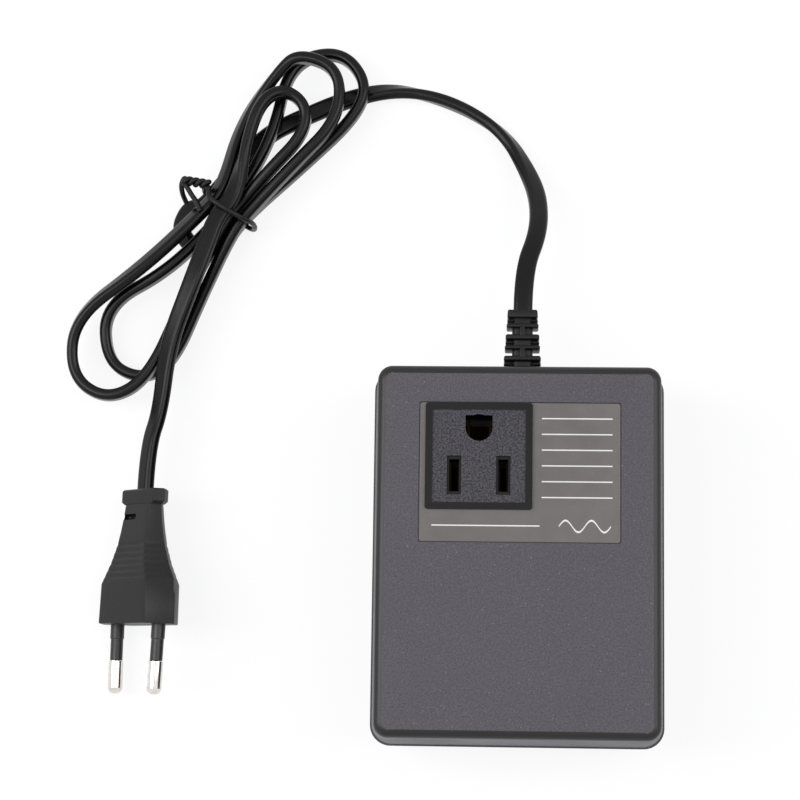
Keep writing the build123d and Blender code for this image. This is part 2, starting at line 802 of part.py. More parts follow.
def plug_body():
    shoulder = plug_length - shoulder_length
    collar = extrude(plug_section(collar_half_width, collar_half_thickness, collar_side_slant, 0),
                     collar_length)
    neck = plug_section(neck_half_width, neck_half_thickness, neck_side_slant, collar_length)
    waist = shoulder - waist_from_shoulder
    narrow = plug_section(waist_half_width, waist_half_thickness, waist_side_slant, waist)
    broad = plug_section(shoulder_half_width, shoulder_half_thickness, shoulder_side_slant, shoulder)
    base = plug_section(plug_half_width, plug_half_thickness, plug_side_slant, plug_length)
    sections = [neck, narrow, broad, base]
    body = collar
    for low, high in zip(sections, sections[1:]):
        body += loft([low, high], ruled=True)
    upper_rise = (shoulder_half_thickness - waist_half_thickness) / waist_from_shoulder
    lower_rise = (waist_half_thickness - neck_half_thickness) / (waist - collar_length)
    for face in (-1, 1):
        for number in range(grip_ribs):
            back = grip_from_shoulder + number * grip_pitch
            height = shoulder_half_thickness - back * upper_rise
            place = Pos(0, face * height, shoulder - back)
            body -= place * Box(2 * plug_half_width, 2 * grip_depth, grip_width)
        height = neck_half_thickness + plug_window_from_collar * lower_rise
        place = Pos(-plug_window_offset, face * height, collar_length + plug_window_from_collar)
        body -= place * Box(plug_window_length, 2 * plug_window_depth, plug_window_width)
    for side in (-1, 1):
        body -= pin_location(side) * pin_rod(pin_shank / 2 + pin_clearance, -pin_embed, overrun)
        body -= pin_location(side) * pin_rod(pin_sleeve_diameter / 2 + pin_clearance, -sleeve_embed, overrun)
    return plug_frame * body


def plug_pins():
    pins = []
    for side in (-1, 1):
        shank = pin_rod(pin_shank / 2, -pin_embed, pin_sleeve_length)
        tip = pin_rod(pin_diameter / 2, pin_sleeve_length, pin_length)
        tip = fillet(tip.faces().sort_by(Axis.Z)[-1].edges(), pin_dome)
        pins.append(plug_frame * pin_location(side) * (shank + tip))
    return Compound(children=pins)


def pin_sleeves():
    sleeves = []
    for side in (-1, 1):
        sleeve = pin_rod(pin_sleeve_diameter / 2, -sleeve_embed, pin_sleeve_step)
        sleeve += pin_rod(pin_sleeve_step_diameter / 2, pin_sleeve_step, pin_sleeve_length)
        sleeve -= pin_rod(pin_shank / 2 + pin_clearance, -pin_length, pin_length)
        sleeves.append(plug_frame * pin_location(side) * sleeve)
    return Compound(children=sleeves)


def cord_plug_lead():
    across, height = strand(-1)
    near = hank_end()
    way = (near - hank_place(-waist_half_length, across, height)).normalized()
    plug_way = Vector(0, 1, 0).rotate(Axis.Z, -plug_yaw)
    end = Vector(plug_collar_x, plug_collar_y, plug_height)
    return free_route("plug lead", [near, near + way * plug_lead_first_run] + plug_lead_places
                      + [end + plug_way * plug_lead_last_run, end])


def cord_tie():
    frame = Plane(origin=(tie_x, tie_y, 0), x_dir=hank_place(0, 1, 0) - hank_place(0, 0, 0),
                  z_dir=hank_place(1, 0, 0) - hank_place(0, 0, 0))
    width = tie_left + tie_right
    height = tie_high - tie_low
    outline = RectangleRounded(width, height, tie_corner).wire()
    outline = frame * Pos((tie_left - tie_right) / 2, (tie_high + tie_low) / 2, 0) * outline
    start = Plane(outline @ 0, z_dir=outline % 0)
    ring = sweep(start * Circle(tie_wire / 2), path=outline)
    top = tie_high - tie_corner
    for side in (-1, 1):
        near = frame.from_local_coords((tie_left - tie_wire / 4, top, side * tie_tail_spread / 2))
        far = frame.from_local_coords((tie_left + tie_tail, top, side * tie_tail_spread / 2))
        tail = Line(near, far)
        ring += sweep(Plane(near, z_dir=tail % 0) * Circle(tie_wire / 2), path=tail)
    return ring


parts["front_cover"] = front_cover()
parts["rear_cover"] = rear_cover()
parts["case_screws"] = case_screws()
parts["label_plate"] = label_plate()
parts["outlet_body"] = outlet_body()
parts["outlet_rear_cap"] = outlet_rear_cap()
parts["neutral_contact"] = blade_contact(blade_places[0])
parts["live_contact"] = blade_contact(blade_places[1])
parts["earth_contact"] = earth_contact()
parts["core_e_stack"] = core_e_stack()
parts["core_i_stack"] = core_i_stack()
parts["coil_bobbin"] = coil_bobbin()
parts["common_winding"] = common_winding()
parts["series_winding"] = series_winding()
parts["winding_tape"] = winding_tape()
parts["core_screws"] = core_screws()
parts["thermal_cutout"] = thermal_cutout()
parts["live_core"] = live_core()
parts["neutral_core"] = neutral_core()
parts["outlet_live_wire"] = outlet_wire(blade_places[1], -wire_land_x)
parts["outlet_neutral_wire"] = outlet_wire(blade_places[0], -2 * wire_land_x)
parts["wire_sleeves"] = wire_sleeves()
parts["strain_relief"] = strain_relief()
parts["cord_lead"] = cord_lead()
parts["cord_hank"] = cord_hank()
parts["cord_plug_lead"] = cord_plug_lead()
parts["cord_tie"] = cord_tie()
parts["plug_body"] = plug_body()
parts["plug_pins"] = plug_pins()
parts["pin_sleeves"] = pin_sleeves()

os.makedirs("parts", exist_ok=True)
for name, solid in parts.items():
    export_step(solid, f"parts/{name}.step")
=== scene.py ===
# %% [markdown]
# # A travel voltage converter
#
# The object lies on its back on a white table: a dark grey plastic case with an outlet in its
# face, a short flat cord tied in a hank, and a slim two-pin plug. The construction comes packed
# as a fixed frame of CAD nodes. Here each visible piece gets its real surface, and the cord,
# the tie, the strain relief and the plug are modelled again with their fine shapes.
#
# The frame's axes: X across the case, Y towards the cord, Z up. Blender works in metres, and the
# real sizes below are written in millimetres, so one value turns them.

# %% Load the frame
import bpy
import bmesh
import math
from mathutils import Matrix, Vector


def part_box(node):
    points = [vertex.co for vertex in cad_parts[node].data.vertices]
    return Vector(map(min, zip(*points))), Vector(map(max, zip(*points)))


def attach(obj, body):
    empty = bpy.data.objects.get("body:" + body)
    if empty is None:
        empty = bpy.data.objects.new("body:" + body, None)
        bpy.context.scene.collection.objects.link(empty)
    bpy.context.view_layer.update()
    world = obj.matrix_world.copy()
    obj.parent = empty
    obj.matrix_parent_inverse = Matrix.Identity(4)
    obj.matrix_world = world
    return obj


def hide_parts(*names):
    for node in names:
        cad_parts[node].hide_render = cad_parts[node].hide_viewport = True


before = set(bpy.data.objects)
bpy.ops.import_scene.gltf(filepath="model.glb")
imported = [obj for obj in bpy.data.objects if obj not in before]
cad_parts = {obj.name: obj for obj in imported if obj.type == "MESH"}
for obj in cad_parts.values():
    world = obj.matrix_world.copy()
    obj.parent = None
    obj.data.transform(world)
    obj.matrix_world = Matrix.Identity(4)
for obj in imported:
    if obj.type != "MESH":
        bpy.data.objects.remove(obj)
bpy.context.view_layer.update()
mm = 0.001
print("nodes in the frame:", len(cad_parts))

# %% [markdown]
# ## The camera
#
# The photograph is taken from above, with the camera a little towards the near end. Its place
# and turn were worked out once from the outlet's 12.7 mm slots and the plug's 19 mm pins, so
# they are plain numbers here. A long lens keeps the case's sides almost upright.

# %% Camera at the photograph's angle
camera = bpy.data.cameras.new("camera")
camera.sensor_width = 36.0
camera.lens = 104.9
camera_object = bpy.data.objects.new("camera", camera)
camera_object.location = Vector((-2.0, -48.1, 648.3)) * mm
camera_object.rotation_euler = [math.radians(turn) for turn in (8.29, 2.65, 0.82)]
bpy.context.scene.collection.objects.link(camera_object)
bpy.context.scene.camera = camera_object
bpy.context.scene.view_settings.view_transform = "Standard"
print("camera height:", round(camera_object.location.z, 3), "m")

# %% [markdown]
# ## Small helpers for materials
#
# Colours are picked as sRGB hex values, as a painter would read them off a swatch, while the
# shader works in linear light, so one function turns them. A second function adds a node with its
# settings and links, which keeps each material down to a few lines that read like a recipe.

# %% Colour and node helpers
def colour(hex_value):
    channels = [int(hex_value[i:i + 2], 16) / 255 for i in (1, 3, 5)]
    return [c / 12.92 if c <= 0.04045 else ((c + 0.055) / 1.055) ** 2.4 for c in channels] + [1.0]


def add_node(tree, kind, settings, links=()):
    node = tree.nodes.new(kind)
    for name, value in settings.items():
        if isinstance(name, str) and hasattr(node, name):
            setattr(node, name, value)
        else:
            node.inputs[name].default_value = value
    for name, source in dict(links).items():
        tree.links.new(source, node.inputs[name])
    return node


print("white turns to", colour("#ffffff")[:3])

# %% [markdown]
# ## Light and table
#
# A product like this is photographed in a light tent: two wide soft lamps above, one on each
# side of the camera, and pale walls. The lamps draw the two fine highlights along each cord.
# Their level is plain, so a colour renders about as it is written. The table and the tent's walls
# look white because the rays that see them straight, or in a gloss or through a clear piece, get
# plain white there, and not because more light falls on the object. The table still takes the
# object's soft shadow.

# %% World and lamps
def seen_straight(tree):
    """1 for the rays that see a surface from the camera, in a reflection or through a clear piece."""
    ray = add_node(tree, "ShaderNodeLightPath", {})
    glossy = add_node(tree, "ShaderNodeMath", {"operation": "MAXIMUM"},
                      {0: ray.outputs["Is Camera Ray"], 1: ray.outputs["Is Glossy Ray"]})
    clear = add_node(tree, "ShaderNodeMath", {"operation": "MAXIMUM"},
                     {0: glossy.outputs[0], 1: ray.outputs["Is Transmission Ray"]})
    return clear.outputs[0]


world = bpy.data.worlds.new("light tent")
bpy.context.scene.world = world
world.use_nodes = True
world.node_tree.nodes.clear()
tent_level = 0.42
tent = add_node(world.node_tree, "ShaderNodeBackground", {"Color": colour("#f4f4f6"), "Strength": tent_level})
white = add_node(world.node_tree, "ShaderNodeBackground", {"Color": colour("#ffffff"), "Strength": 1.0})
seen = add_node(world.node_tree, "ShaderNodeMixShader", {},
                {0: seen_straight(world.node_tree), 1: tent.outputs[0], 2: white.outputs[0]})
add_node(world.node_tree, "ShaderNodeOutputWorld", {}, {"Surface": seen.outputs[0]})


def soft_lamp(name, place, aim, size, power):
    lamp = bpy.data.lights.new(name, "AREA")
    lamp.shape = "RECTANGLE"
    lamp.size, lamp.size_y = (length * mm for length in size)
    lamp.energy = power
    lamp_object = bpy.data.objects.new(name, lamp)
    lamp_object.location = Vector(place) * mm
    way = (Vector(aim) - Vector(place)).normalized()
    lamp_object.rotation_euler = way.to_track_quat("-Z", "Y").to_euler()
    bpy.context.scene.collection.objects.link(lamp_object)


lamp_aim = (-30, 30, 20)
lamp_size = (420, 900)
soft_lamp("left softbox", (-620, 60, 900), lamp_aim, lamp_size, power=5.2)
soft_lamp("right softbox", (560, 60, 900), lamp_aim, lamp_size, power=3.1)
print("lamps:", [light.name for light in bpy.data.lights])

# %% White table
table_half = 3.0
table_glow = 0.85
table = bmesh.new()
bmesh.ops.create_grid(table, x_segments=1, y_segments=1, size=table_half)
table_mesh = bpy.data.meshes.new("table")
table.to_mesh(table_mesh)
table.free()
table_object = bpy.data.objects.new("table", table_mesh)
bpy.context.scene.collection.objects.link(table_object)
card = bpy.data.materials.new("white table card")
card.use_nodes = True
card.node_tree.nodes.clear()
matt = add_node(card.node_tree, "ShaderNodeBsdfDiffuse", {"Color": colour("#7a7a7c")})
glow = add_node(card.node_tree, "ShaderNodeEmission", {"Color": colour("#ffffff"), "Strength": table_glow})
both = add_node(card.node_tree, "ShaderNodeAddShader", {}, {0: matt.outputs[0], 1: glow.outputs[0]})
shown = add_node(card.node_tree, "ShaderNodeMixShader", {},
                 {0: seen_straight(card.node_tree), 1: matt.outputs[0], 2: both.outputs[0]})
add_node(card.node_tree, "ShaderNodeOutputMaterial", {}, {"Surface": shown.outputs[0]})
table_mesh.materials.append(card)
print("table:", 2 * table_half, "m wide")

# %% [markdown]
# ## What all finishes share
#
# Each finish here is a recipe of three things: a colour, a roughness and a fine relief. Each comes
# from a pattern with a real size in millimetres, read at the surface's real place. Four helpers
# keep the recipes short: one starts a material, one makes a random pattern of a given size, one
# colours a pattern with two tones, and one joins the three things to the surface.

# %% Helpers for every finish
def blank_material(name, settings):
    """A material with a bare surface, its nodes, and the real place that its patterns read."""
    material = bpy.data.materials.new(name)
    material.use_nodes = True
    tree = material.node_tree
    tree.nodes.clear()
    surface = add_node(tree, "ShaderNodeBsdfPrincipled", settings)
    add_node(tree, "ShaderNodeOutputMaterial", {}, {"Surface": surface.outputs[0]})
    place = add_node(tree, "ShaderNodeTexCoord", {}).outputs["Object"]
    return material, tree, surface, place


def lumps(tree, place, size, detail=2.0):
    """A random pattern whose lumps are about size mm apart."""
    return add_node(tree, "ShaderNodeTexNoise", {"Scale": 1 / (size * mm), "Detail": detail, "Roughness": 0.6},
                    {"Vector": place}).outputs["Fac"]


def two_tones(tree, pattern, dark, light, low=0.36, high=0.66):
    """Dark up to the pattern's low value, light from its high value, and a fade between."""
    ramp = add_node(tree, "ShaderNodeValToRGB", {}, {"Fac": pattern})
    ends = ramp.color_ramp.elements
    ends[0].position, ends[0].color = low, colour(dark)
    ends[1].position, ends[1].color = high, colour(light)
    return ramp.outputs["Color"]


def finish(tree, surface, tone, gloss, height, depth):
    """Gives the surface its colour, its roughness and a relief of depth mm."""
    bump = add_node(tree, "ShaderNodeBump", {"Strength": 1.0, "Distance": depth * mm}, {"Height": height})
    for socket, source in (("Base Color", tone), ("Roughness", gloss), ("Normal", bump.outputs["Normal"])):
        tree.links.new(source, surface.inputs[socket])


# %% [markdown]
# ## Plastics
#
# Almost everything here is moulded plastic, and what tells one from another is how the mould was
# finished. A spark-eroded mould gives the case its fine matt grain, a coarser one gives the
# outlet's face its sparkle, and a polished one gives smooth PVC. So one function makes a moulded
# plastic from its two tones, its roughness and the grain's real size. Some parts take a mask as
# well: a function, given with a dark tone, that marks where the surface is glossier and smoother
# and is painted in that dark tone, which is painted shade. `dust` is the tone of the few specks that
# stand out in the grain.
# `shade_tone` is the tone there. `dust` is the tone of the few specks that stand out in the grain.
#
# A Mix node has sockets of one name for numbers and for colours, so here they go by their place: 0
# is the factor, 2 and 3 are the two numbers, and 6 and 7 the two colours.

# %% Moulded plastic
cloud_size, cloud_detail = 18, 3.0
cloud_low, cloud_high = 0.3, 0.7
gloss_swing = 0.05
dust_share, dust_low, dust_high = 0.9, 0.83, 0.88
smooth_gloss_share = 0.75
smooth_height = 0.5


def moulded_plastic(name, dark, light, roughness, grain, depth, ior=1.46,
                    shaded_and_polished=None, shade_tone=None, dust=None):
    """dark and light are the grain's tones, grain is its size in mm and depth its height in mm."""
    material, tree, surface, place = blank_material(name, {"IOR": ior})
    speckle = lumps(tree, place, grain)
    tone = two_tones(tree, speckle, dark, light)
    if dust:
        specks = two_tones(tree, lumps(tree, place, grain * dust_share, detail=0.0), "#000000", "#ffffff",
                           dust_low, dust_high)
        tone = add_node(tree, "ShaderNodeMix", {"data_type": "RGBA", 7: colour(dust)},
                        {0: specks, 6: tone}).outputs[2]
    gloss = add_node(tree, "ShaderNodeMapRange",
                     {"From Min": cloud_low, "From Max": cloud_high,
                      "To Min": roughness - gloss_swing, "To Max": roughness + gloss_swing},
                     {"Value": lumps(tree, place, cloud_size, cloud_detail)}).outputs["Result"]
    height = speckle
    # Where the mask is 1 the colour turns to the dark tone given with it, which is painted shade, and the
    # surface is glossier and smoother.
    if shaded_and_polished:
        shade_and_polish_mask = shaded_and_polished(tree, place)
        tone = add_node(tree, "ShaderNodeMix", {"data_type": "RGBA", 7: colour(shade_tone)},
                        {0: shade_and_polish_mask, 6: tone}).outputs[2]
        gloss = add_node(tree, "ShaderNodeMix", {3: roughness * smooth_gloss_share},
                         {0: shade_and_polish_mask, 2: gloss}).outputs[0]
        height = add_node(tree, "ShaderNodeMix", {3: smooth_height}, {0: shade_and_polish_mask, 2: speckle}).outputs[0]
    finish(tree, surface, tone, gloss, height, depth)
    return material


# %% [markdown]
# ### Where shade is painted and the mould is left smooth
#
# The front cover's rounded edge is painted almost black, as painted shade where it turns away from
# the lamps, and it has no spark texture, so it is glossier and smoother than the face: a band
# between two heights marks it. The outlet's raised border and its slots are painted almost black
# too, in the slots as painted shade, and are smooth round a textured face: there the larger of the
# two distances from the outlet's middle marks a square, and all that lies below the face counts as
# a slot. Both read Object coordinates, which are the real places in metres.

# %% Bands and squares from real places
def step(tree, value, low, high):
    """Rises from 0 to 1 as value goes from low to high mm."""
    return add_node(tree, "ShaderNodeMapRange", {"From Min": low * mm, "From Max": high * mm},
                    {"Value": value}).outputs["Result"]


case_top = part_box("front_cover")[1].z / mm
edge_radius = 2.3
edge_fade = 0.4
face_skin, edge_skin = 0.004, 0.02


def rounded_edge(tree, place):
    """1 on the front cover's rounded edge, 0 on its face and walls."""
    height = add_node(tree, "ShaderNodeSeparateXYZ", {}, {"Vector": place}).outputs["Z"]
    above = step(tree, height, case_top - edge_radius - edge_fade, case_top - edge_radius)
    below = step(tree, height, case_top - face_skin, case_top - edge_skin)
    return add_node(tree, "ShaderNodeMath", {"operation": "MULTIPLY"}, {0: above, 1: below}).outputs[0]


outlet_box = [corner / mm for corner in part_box("outlet_body")]
outlet_middle = (outlet_box[0] + outlet_box[1]) / 2
outlet_half = (outlet_box[1].x - outlet_box[0].x) / 2
outlet_border = 1.8
outlet_face_depth = 0.35
outlet_fade = 0.06


def outside_outlet_face(tree, place):
    """1 on the outlet's border and in its slots, 0 on its textured face."""
    axes = add_node(tree, "ShaderNodeSeparateXYZ", {}, {"Vector": place}).outputs
    sides = []
    for axis, middle in (("X", outlet_middle.x), ("Y", outlet_middle.y)):
        away = add_node(tree, "ShaderNodeMath", {"operation": "SUBTRACT", 1: middle * mm}, {0: axes[axis]})
        side = add_node(tree, "ShaderNodeMath", {"operation": "ABSOLUTE"}, {0: away.outputs[0]})
        sides.append(side.outputs[0])
    reach = add_node(tree, "ShaderNodeMath", {"operation": "MAXIMUM"}, {0: sides[0], 1: sides[1]}).outputs[0]
    edge = outlet_half - outlet_border
    border = step(tree, reach, edge - outlet_fade, edge + outlet_fade)
    face_height = outlet_box[1].z - outlet_face_depth
    slots = step(tree, axes["Z"], face_height - outlet_fade / 2, face_height - outlet_fade)
    return add_node(tree, "ShaderNodeMath", {"operation": "MAXIMUM"}, {0: border, 1: slots}).outputs[0]


print("face of the case at", round(case_top, 2), "mm, outlet", round(2 * outlet_half, 2), "mm square")

# %% The plastics that are seen
# The case's rounded edge is painted almost black, as painted shade, and is glossier and smoother there.
case_plastic = moulded_plastic("spark-textured ABS", "#403d43", "#57545c", 0.5, 0.45, 0.05,
                               shaded_and_polished=rounded_edge, shade_tone="#111012", dust="#8a888c")
# The outlet's raised border and its slots are painted almost black, in the slots as painted shade, and are
# glossier and smoother there.
outlet_plastic = moulded_plastic("sparkle-grained nylon", "#222124", "#5b5960", 0.5, 0.45, 0.06, 1.3,
                                 shaded_and_polished=outside_outlet_face, shade_tone="#060607", dust="#8a888c")
cord_plastic = moulded_plastic("polished soft PVC", "#060607", "#0a0a0b", 0.25, 1.2, 0.008, 1.3)
relief_plastic = moulded_plastic("satin soft PVC", "#0d0d0e", "#131314", 0.38, 0.5, 0.012, 1.34)
plug_plastic = moulded_plastic("moulded matt PVC", "#151516", "#1c1c1e", 0.45, 0.6, 0.02, 1.36)
tie_plastic = moulded_plastic("coated tie wire", "#0a0a0b", "#111112", 0.38, 0.3, 0.01, 1.34)
seen_plastics = (case_plastic, outlet_plastic, cord_plastic, relief_plastic, plug_plastic, tie_plastic)
print("plastics:", [plastic.name for plastic in seen_plastics])

# %% [markdown]
# ## The cord's route
#
# The cord is one length of flat twin flex from the strain relief to the plug, 5.15 mm wide and
# 3.1 mm thick. A NURBS spline of order 3 bends like a real flex, because it is smooth and keeps
# inside the corners of its control points. Where the flex lies free the points are listed one by
# one. In the hank they come from a few numbers for each loop: its reach from the tie, how far
# its middle is off to the side, its half width at neck, shoulder and tip, and how many cords it
# lies above the table.

# %% Places in the hank, measured from the tie
tie = Vector((-81.7, 98.1, 0.0))
heading = math.radians(51.0)
along_way = Vector((math.cos(heading), math.sin(heading), 0.0))
left_way = Vector((-math.sin(heading), math.cos(heading), 0.0))
lane = 4.05
level = 5.7
loop_floor = 2.7
waist_lift = 1.0
waist_half = 4.0
end_run = 7.8
end_swing = 2.8
neck_share, neck_offset_share = 0.44, 0.57
shoulder_share, shoulder_offset_share = 0.8, 0.85
# Each strand through the tie, in order: lanes to the left, levels up
strands = [(1.9, 0.0), (-0.88, 0.0), (0.36, 0.52), (-1.13, 1.0), (1.3, 1.35), (-0.3, 1.1), (0.1, 1.97)]
strand_rolls = [0, 90, 90, 90, 50, 90, 15]
print("strands through the tie:", len(strands))

# %% Each loop: end, reach, offset and lean, then half widths, levels and rolls at its corners, in degrees
loops = [
    {"size": (-1, 13.8, 1.7, 0.0), "widths": (10.2, 7.1, 4.8, 4.4), "levels": (0, 0, 0, 0),
     "rolls": (20, 40, 40, 60)},
    {"size": (1, 54.6, 0.0, -1.2), "widths": (6.9, 9.6, 6.1, 6.1, 15.0, 4.4),
     "levels": (0.45, 0.7, 0.85, 0.85, 0.85, 0.95), "rolls": (90,) * 6},
    {"size": (-1, 53.5, -5.2, 1.1), "widths": (5.2, 15.0, 5.3, 5.5, 10.1, 6.2),
     "levels": (1.0, 0.55, 0.1, 0.0, 0.05, 0.55), "rolls": (90,) * 6},
    {"size": (1, 48.5, 7.1, 1.9), "widths": (10.0, 13.7, 6.1, 6.1, 8.7, 9.6),
     "levels": (1.55, 1.72, 1.87, 1.92, 1.7, 1.2), "rolls": (90, 90, 90, 90, 75, 60)},
    {"size": (-1, 63.6, -1.9, 0.6), "widths": (8.7, 15.5, 6.2, 6.5, 11.6, 5.4),
     "levels": (1.75, 1.4, 0.95, 1.0, 0.95, 0.95), "rolls": (50, 70, 85, 90, 90, 90)},
    {"size": (1, 36.2, 5.2, 0.0), "widths": (4.9, 7.5, 4.1, 4.1, 7.8, 4.0),
     "levels": (1.7, 1.9, 2.0, 2.1, 2.3, 2.15), "rolls": (90,) * 6},
]


def hank_place(along, across, height):
    """A place measured from the tie: along the hank, across it to the left, and up."""
    return tie + along_way * along + left_way * across + Vector((0, 0, height))


def strand_place(number, along):
    """A place on one of the strands through the tie."""
    side, height = strands[number]
    return hank_place(along, side * lane, loop_floor + waist_lift + height * level)


def loop_places(loop):
    """A loop's corners, out along one side to its tip and back along the other."""
    end, reach, offset, lean = loop["size"]
    half = len(loop["widths"]) // 2
    middles = [(reach * share, offset * middle) for share, middle in
               ((neck_share, neck_offset_share), (shoulder_share, shoulder_offset_share))[:half - 1]]
    middles += [(reach + lean, offset), (reach - lean, offset)] + middles[::-1]
    sides = [-end] * half + [end] * half
    return [hank_place(end * along, middle + side * width, loop_floor + height * level) for
            (along, middle), side, width, height in zip(middles, sides, loop["widths"], loop["levels"])]


print("tie at", [round(value, 1) for value in tie], "and", len(loops), "loops")

# %% Whole route, with how far the flat flex leans at each point
relief_tip = Vector((0.9, 67.45, 26.0))
lead = [((0.9, 77.95, 26.0), 0), ((5.1, 89.9, 20.5), 0), ((5.1, 101.2, 12.5), 10),
        ((2.0, 110.7, 6.0), 40), ((-3.9, 121.3, 3.2), 70), ((-13.7, 128.6, 2.8), 90),
        ((-25.5, 133.4, 2.8), 90), ((-37.7, 135.2, 2.5), 45), ((-50.1, 132.3, 2.1), 10),
        ((-61.3, 127.4, 2.3), 0)]
plug_lead = [((-97.7, 59.0, 12.2), 25), ((-99.4, 41.0, 10.8), 45)]
plug_lead_first = 12.3
last_run = 12.0
plug_end = Vector((-102.8, 18.8, 11.53))
plug_yaw = math.radians(1.5)
plug_turn = 45
plug_way = Vector((math.sin(plug_yaw), math.cos(plug_yaw), 0.0))
cord_inset = 1.5
cord_start = relief_tip - Vector((0, cord_inset, 0))
route = [(cord_start, 0)] + [(Vector(place), roll) for place, roll in lead]
route += [(strand_place(0, waist_half + end_run + last_run), 0), (strand_place(0, waist_half + end_run), 0)]
for number, roll in enumerate(strand_rolls):
    way = 1 if number % 2 == 0 else -1
    route += [(strand_place(number, way * waist_half), roll), (strand_place(number, -way * waist_half), roll)]
    if number < len(loops):
        route += list(zip(loop_places(loops[number]), loops[number]["rolls"]))
last_strand = len(strands) - 1
hank_end = strand_place(last_strand, -waist_half - end_run) - left_way * end_swing
way = (hank_end - strand_place(last_strand, -waist_half)).normalized()
route += [(hank_end, 10), (hank_end + way * plug_lead_first, 15)]
route += [(Vector(place), roll) for place, roll in plug_lead]
route += [(plug_end + plug_way * last_run, plug_turn), (plug_end, plug_turn)]
print("points on the route:", len(route))

# %% [markdown]
# ## The flat flex
#
# A curve object can carry a flat profile along the spline, and the tilt of each point turns the
# flat side up, as it lies on the table, or on edge, as it stands in the loops. Blender sweeps it
# with its own Z-up frames, so the flex never twists by accident. Turned into a mesh, it also
# keeps the sweep's UV map, which runs once round the flex and on along its length.

# %% Spline and mesh helpers
def nurbs_curve(name, places, tilts=None):
    """A spline through control places in mm, with a tilt in degrees at each."""
    curve = bpy.data.curves.new(name, "CURVE")
    curve.dimensions = "3D"
    curve.twist_mode = "Z_UP"
    spline = curve.splines.new("NURBS")
    spline.points.add(len(places) - 1)
    for number, (point, place) in enumerate(zip(spline.points, places)):
        point.co = (*(Vector(place) * mm), 1.0)
        point.tilt = math.radians(tilts[number]) if tilts else 0.0
    spline.order_u = 3
    spline.use_endpoint_u = True
    spline.resolution_u = 12
    return curve


def curve_mesh(curve):
    """What a curve looks like once it is swept, as a mesh."""
    holder = bpy.data.objects.new("holder", curve)
    bpy.context.scene.collection.objects.link(holder)
    bpy.context.view_layer.update()
    mesh = bpy.data.meshes.new_from_object(holder.evaluated_get(bpy.context.evaluated_depsgraph_get()))
    bpy.data.objects.remove(holder)
    return mesh


def add_piece(name, mesh, material, slot, *nodes, crease=40):
    """Puts a finished mesh in the scene: smooth, but for edges sharper than the crease, in degrees."""
    piece = bpy.data.objects.new(name, mesh)
    mesh.name = name
    bpy.context.scene.collection.objects.link(piece)
    mesh.materials.clear()
    mesh.materials.append(material)
    mesh.polygons.foreach_set("use_smooth", [True] * len(mesh.polygons))
    mesh.set_sharp_from_angle(angle=math.radians(crease))
    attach(piece, "root")
    if nodes:
        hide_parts(*nodes)
    return piece


# %% Flat twin flex
flex_width = 5.15
flex_thickness = 3.1
flex_corner = 1.25
# A Bezier handle of this share of the radius draws a quarter of a circle
circle_handle_share = 0.5523


def flex_profile():
    """The flex's section: a flat bar with rounded corners."""
    profile = bpy.data.curves.new("flex profile", "CURVE")
    profile.dimensions = "2D"
    spline = profile.splines.new("BEZIER")
    flat_x = flex_width / 2 - flex_corner
    flat_y = flex_thickness / 2 - flex_corner
    reach = circle_handle_share * flex_corner
    knots = []
    for x, y, first in ((1, 1, "x"), (-1, 1, "y"), (-1, -1, "x"), (1, -1, "y")):
        side = (Vector((x * flex_width / 2, y * flat_y, 0)), Vector((0, y * reach, 0)))
        cap = (Vector((x * flat_x, y * flex_thickness / 2, 0)), Vector((x * reach, 0, 0)))
        knots += [side, cap] if first == "x" else [cap, side]
    spline.bezier_points.add(len(knots) - 1)
    for number, (knot, (place, handle)) in enumerate(zip(spline.bezier_points, knots)):
        onward = 1 if number % 2 == 0 else -1
        knot.co = place * mm
        knot.handle_right = (place + handle * onward) * mm
        knot.handle_left = (place - handle * onward) * mm
    spline.use_cyclic_u = True
    spline.resolution_u = 5
    return bpy.data.objects.new("flex profile", profile)


places = [place for place, roll in route]
centre = [vertex.co.copy() for vertex in curve_mesh(nurbs_curve("cord line", places)).vertices]
flex = nurbs_curve("cord", places, [roll for place, roll in route])
flex.bevel_mode = "OBJECT"
flex.bevel_object = flex_profile()
flex.use_fill_caps = True
cord_mesh = curve_mesh(flex)
cord = add_piece("flat_cord", cord_mesh, cord_plastic, "cord_pvc", "cord_lead", "cord_hank", "cord_plug_lead")

# %% [markdown]
# ## The strain relief
#
# The boot at the cord exit is one soft moulding that is cut from above and below, then from both
# sides, in turn, so that it bends every way. Seen from above it is three blocks, each with a deep
# slot across it, and a thin web between one block and the next. It could be cut out of a bar, but
# here it is put together from what the cuts leave: two plates for each block, the slot's floor
# and its two fins, a round core down the middle and the webs. Each is a box with its edges
# bevelled, and the whole is then drawn in towards the tip. Each block's four numbers are the far
# and near edge of its slot, its near end and its far end, measured from the case. Behind the wall
# of the case a neck and a flange hold the boot, as they do on the real one.

# %% Boxes with rounded edges
def rounded_box(shape, low, high, corner, segments=3):
    """Adds a box between two corners to a bmesh, with its edges rounded."""
    made = bmesh.ops.create_cube(shape, size=1.0)["verts"]
    low, high = Vector(low), Vector(high)
    bmesh.ops.scale(shape, vec=high - low, verts=made)
    bmesh.ops.translate(shape, vec=(low + high) / 2, verts=made)
    edges = list(dict.fromkeys(edge for vertex in made for edge in vertex.link_edges))
    bmesh.ops.bevel(shape, geom=edges, offset=corner, offset_type="OFFSET", segments=segments, profile=0.5,
                    affect="EDGES", material=-1, clamp_overlap=True)


def shape_mesh(shape, place):
    """A bmesh in millimetres becomes a mesh in metres, with its place in its vertices."""
    mesh = bpy.data.meshes.new("shape")
    bmesh.ops.transform(shape, matrix=Matrix.Scale(mm, 4) @ place, verts=shape.verts)
    bmesh.ops.recalc_face_normals(shape, faces=shape.faces)
    shape.to_mesh(mesh)
    shape.free()
    return mesh


